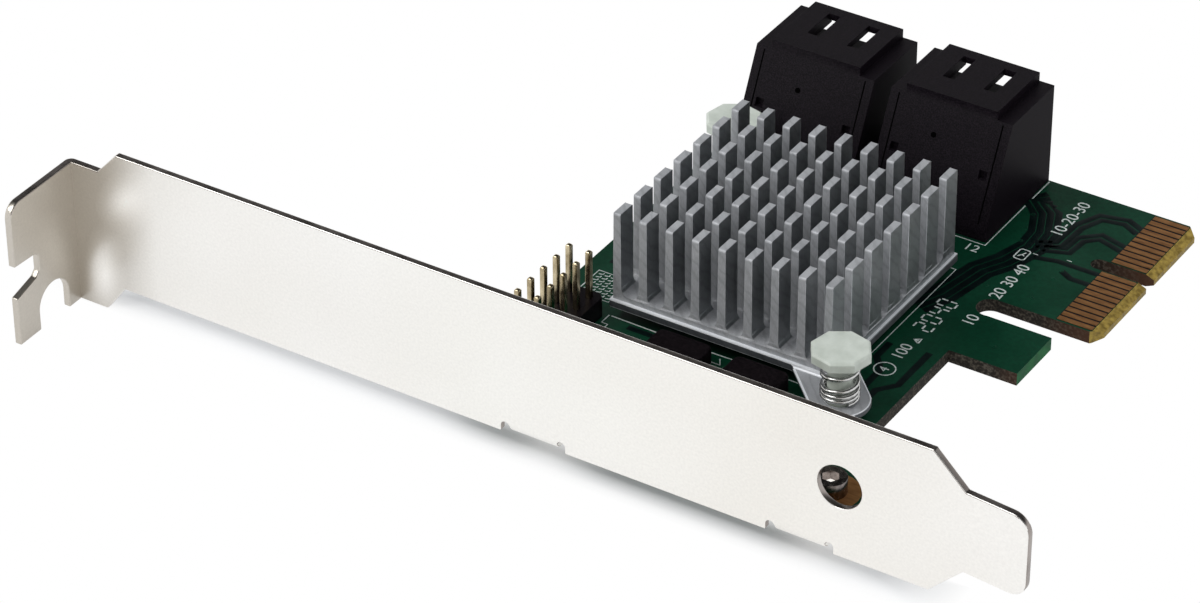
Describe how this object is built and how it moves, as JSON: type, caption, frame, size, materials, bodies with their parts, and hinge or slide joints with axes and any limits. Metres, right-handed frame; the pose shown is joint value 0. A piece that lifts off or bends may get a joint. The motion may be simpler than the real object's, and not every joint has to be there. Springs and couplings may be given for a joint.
{
  "type": "raid controller card",
  "caption": "Computer expansion card with folded steel slot bracket, pin-fin heatsink on push pins, stacked data sockets, pin header and gold edge connector.",
  "frame": {"origin": "the fold of the bracket: outer face of the plate (y = 0), outer face of the tab (x = 0), lower edge of the plate (z = 0)", "axes": "+X along the bracket from the tab to the tongue, +Y from the plate over the circuit board, +Z from the solder side to the component side"},
  "size_m": [0.12, 0.0814, 0.021],
  "materials": {
    "bracket": "bright nickel plate",
    "bracket_screws": "nickel plated",
    "ceramic_capacitors": "fired ceramic",
    "circuit_board": "green solder mask",
    "controller_chip": "moulded",
    "crystal": "metal can",
    "edge_contacts_bottom": "gold plated",
    "edge_contacts_top": "gold plated",
    "flash_chip": "moulded",
    "flash_leads": "tinned",
    "header_body": "moulded",
    "header_pins": "gold plated",
    "heatsink": "satin",
    "inductor_left": "ferrite",
    "inductor_right": "ferrite",
    "inductor_terminals": "tinned",
    "push_pins": "natural nylon",
    "regulator": "moulded",
    "regulator_leads": "tinned",
    "resistors": "glazed",
    "sata_contacts_left": "gold plated",
    "sata_contacts_right": "gold plated",
    "sata_housing_left": "moulded",
    "sata_housing_right": "moulded",
    "screw_lands": "gold plated",
    "springs": "drawn wire",
    "thermal_pad": "soft"
  },
  "bodies": {
    "root": {"bracket": "bracket", "bracket_screws": "bracket_screws", "ceramic_capacitors": "ceramic_capacitors", "circuit_board": "circuit_board", "controller_chip": "controller_chip", "crystal": "crystal", "edge_contacts_bottom": "edge_contacts_bottom", "edge_contacts_top": "edge_contacts_top", "flash_chip": "flash_chip", "flash_leads": "flash_leads", "header_body": "header_body", "header_pins": "header_pins", "heatsink": "heatsink", "inductor_left": "inductor_left", "inductor_right": "inductor_right", "inductor_terminals": "inductor_terminals", "push_pins": "push_pins", "regulator": "regulator", "regulator_leads": "regulator_leads", "resistors": "resistors", "sata_contacts_left": "sata_contacts_left", "sata_contacts_right": "sata_contacts_right", "sata_housing_left": "sata_housing_left", "sata_housing_right": "sata_housing_right", "screw_lands": "screw_lands", "springs": "springs", "thermal_pad": "thermal_pad"}
  },
  "joints": []
}
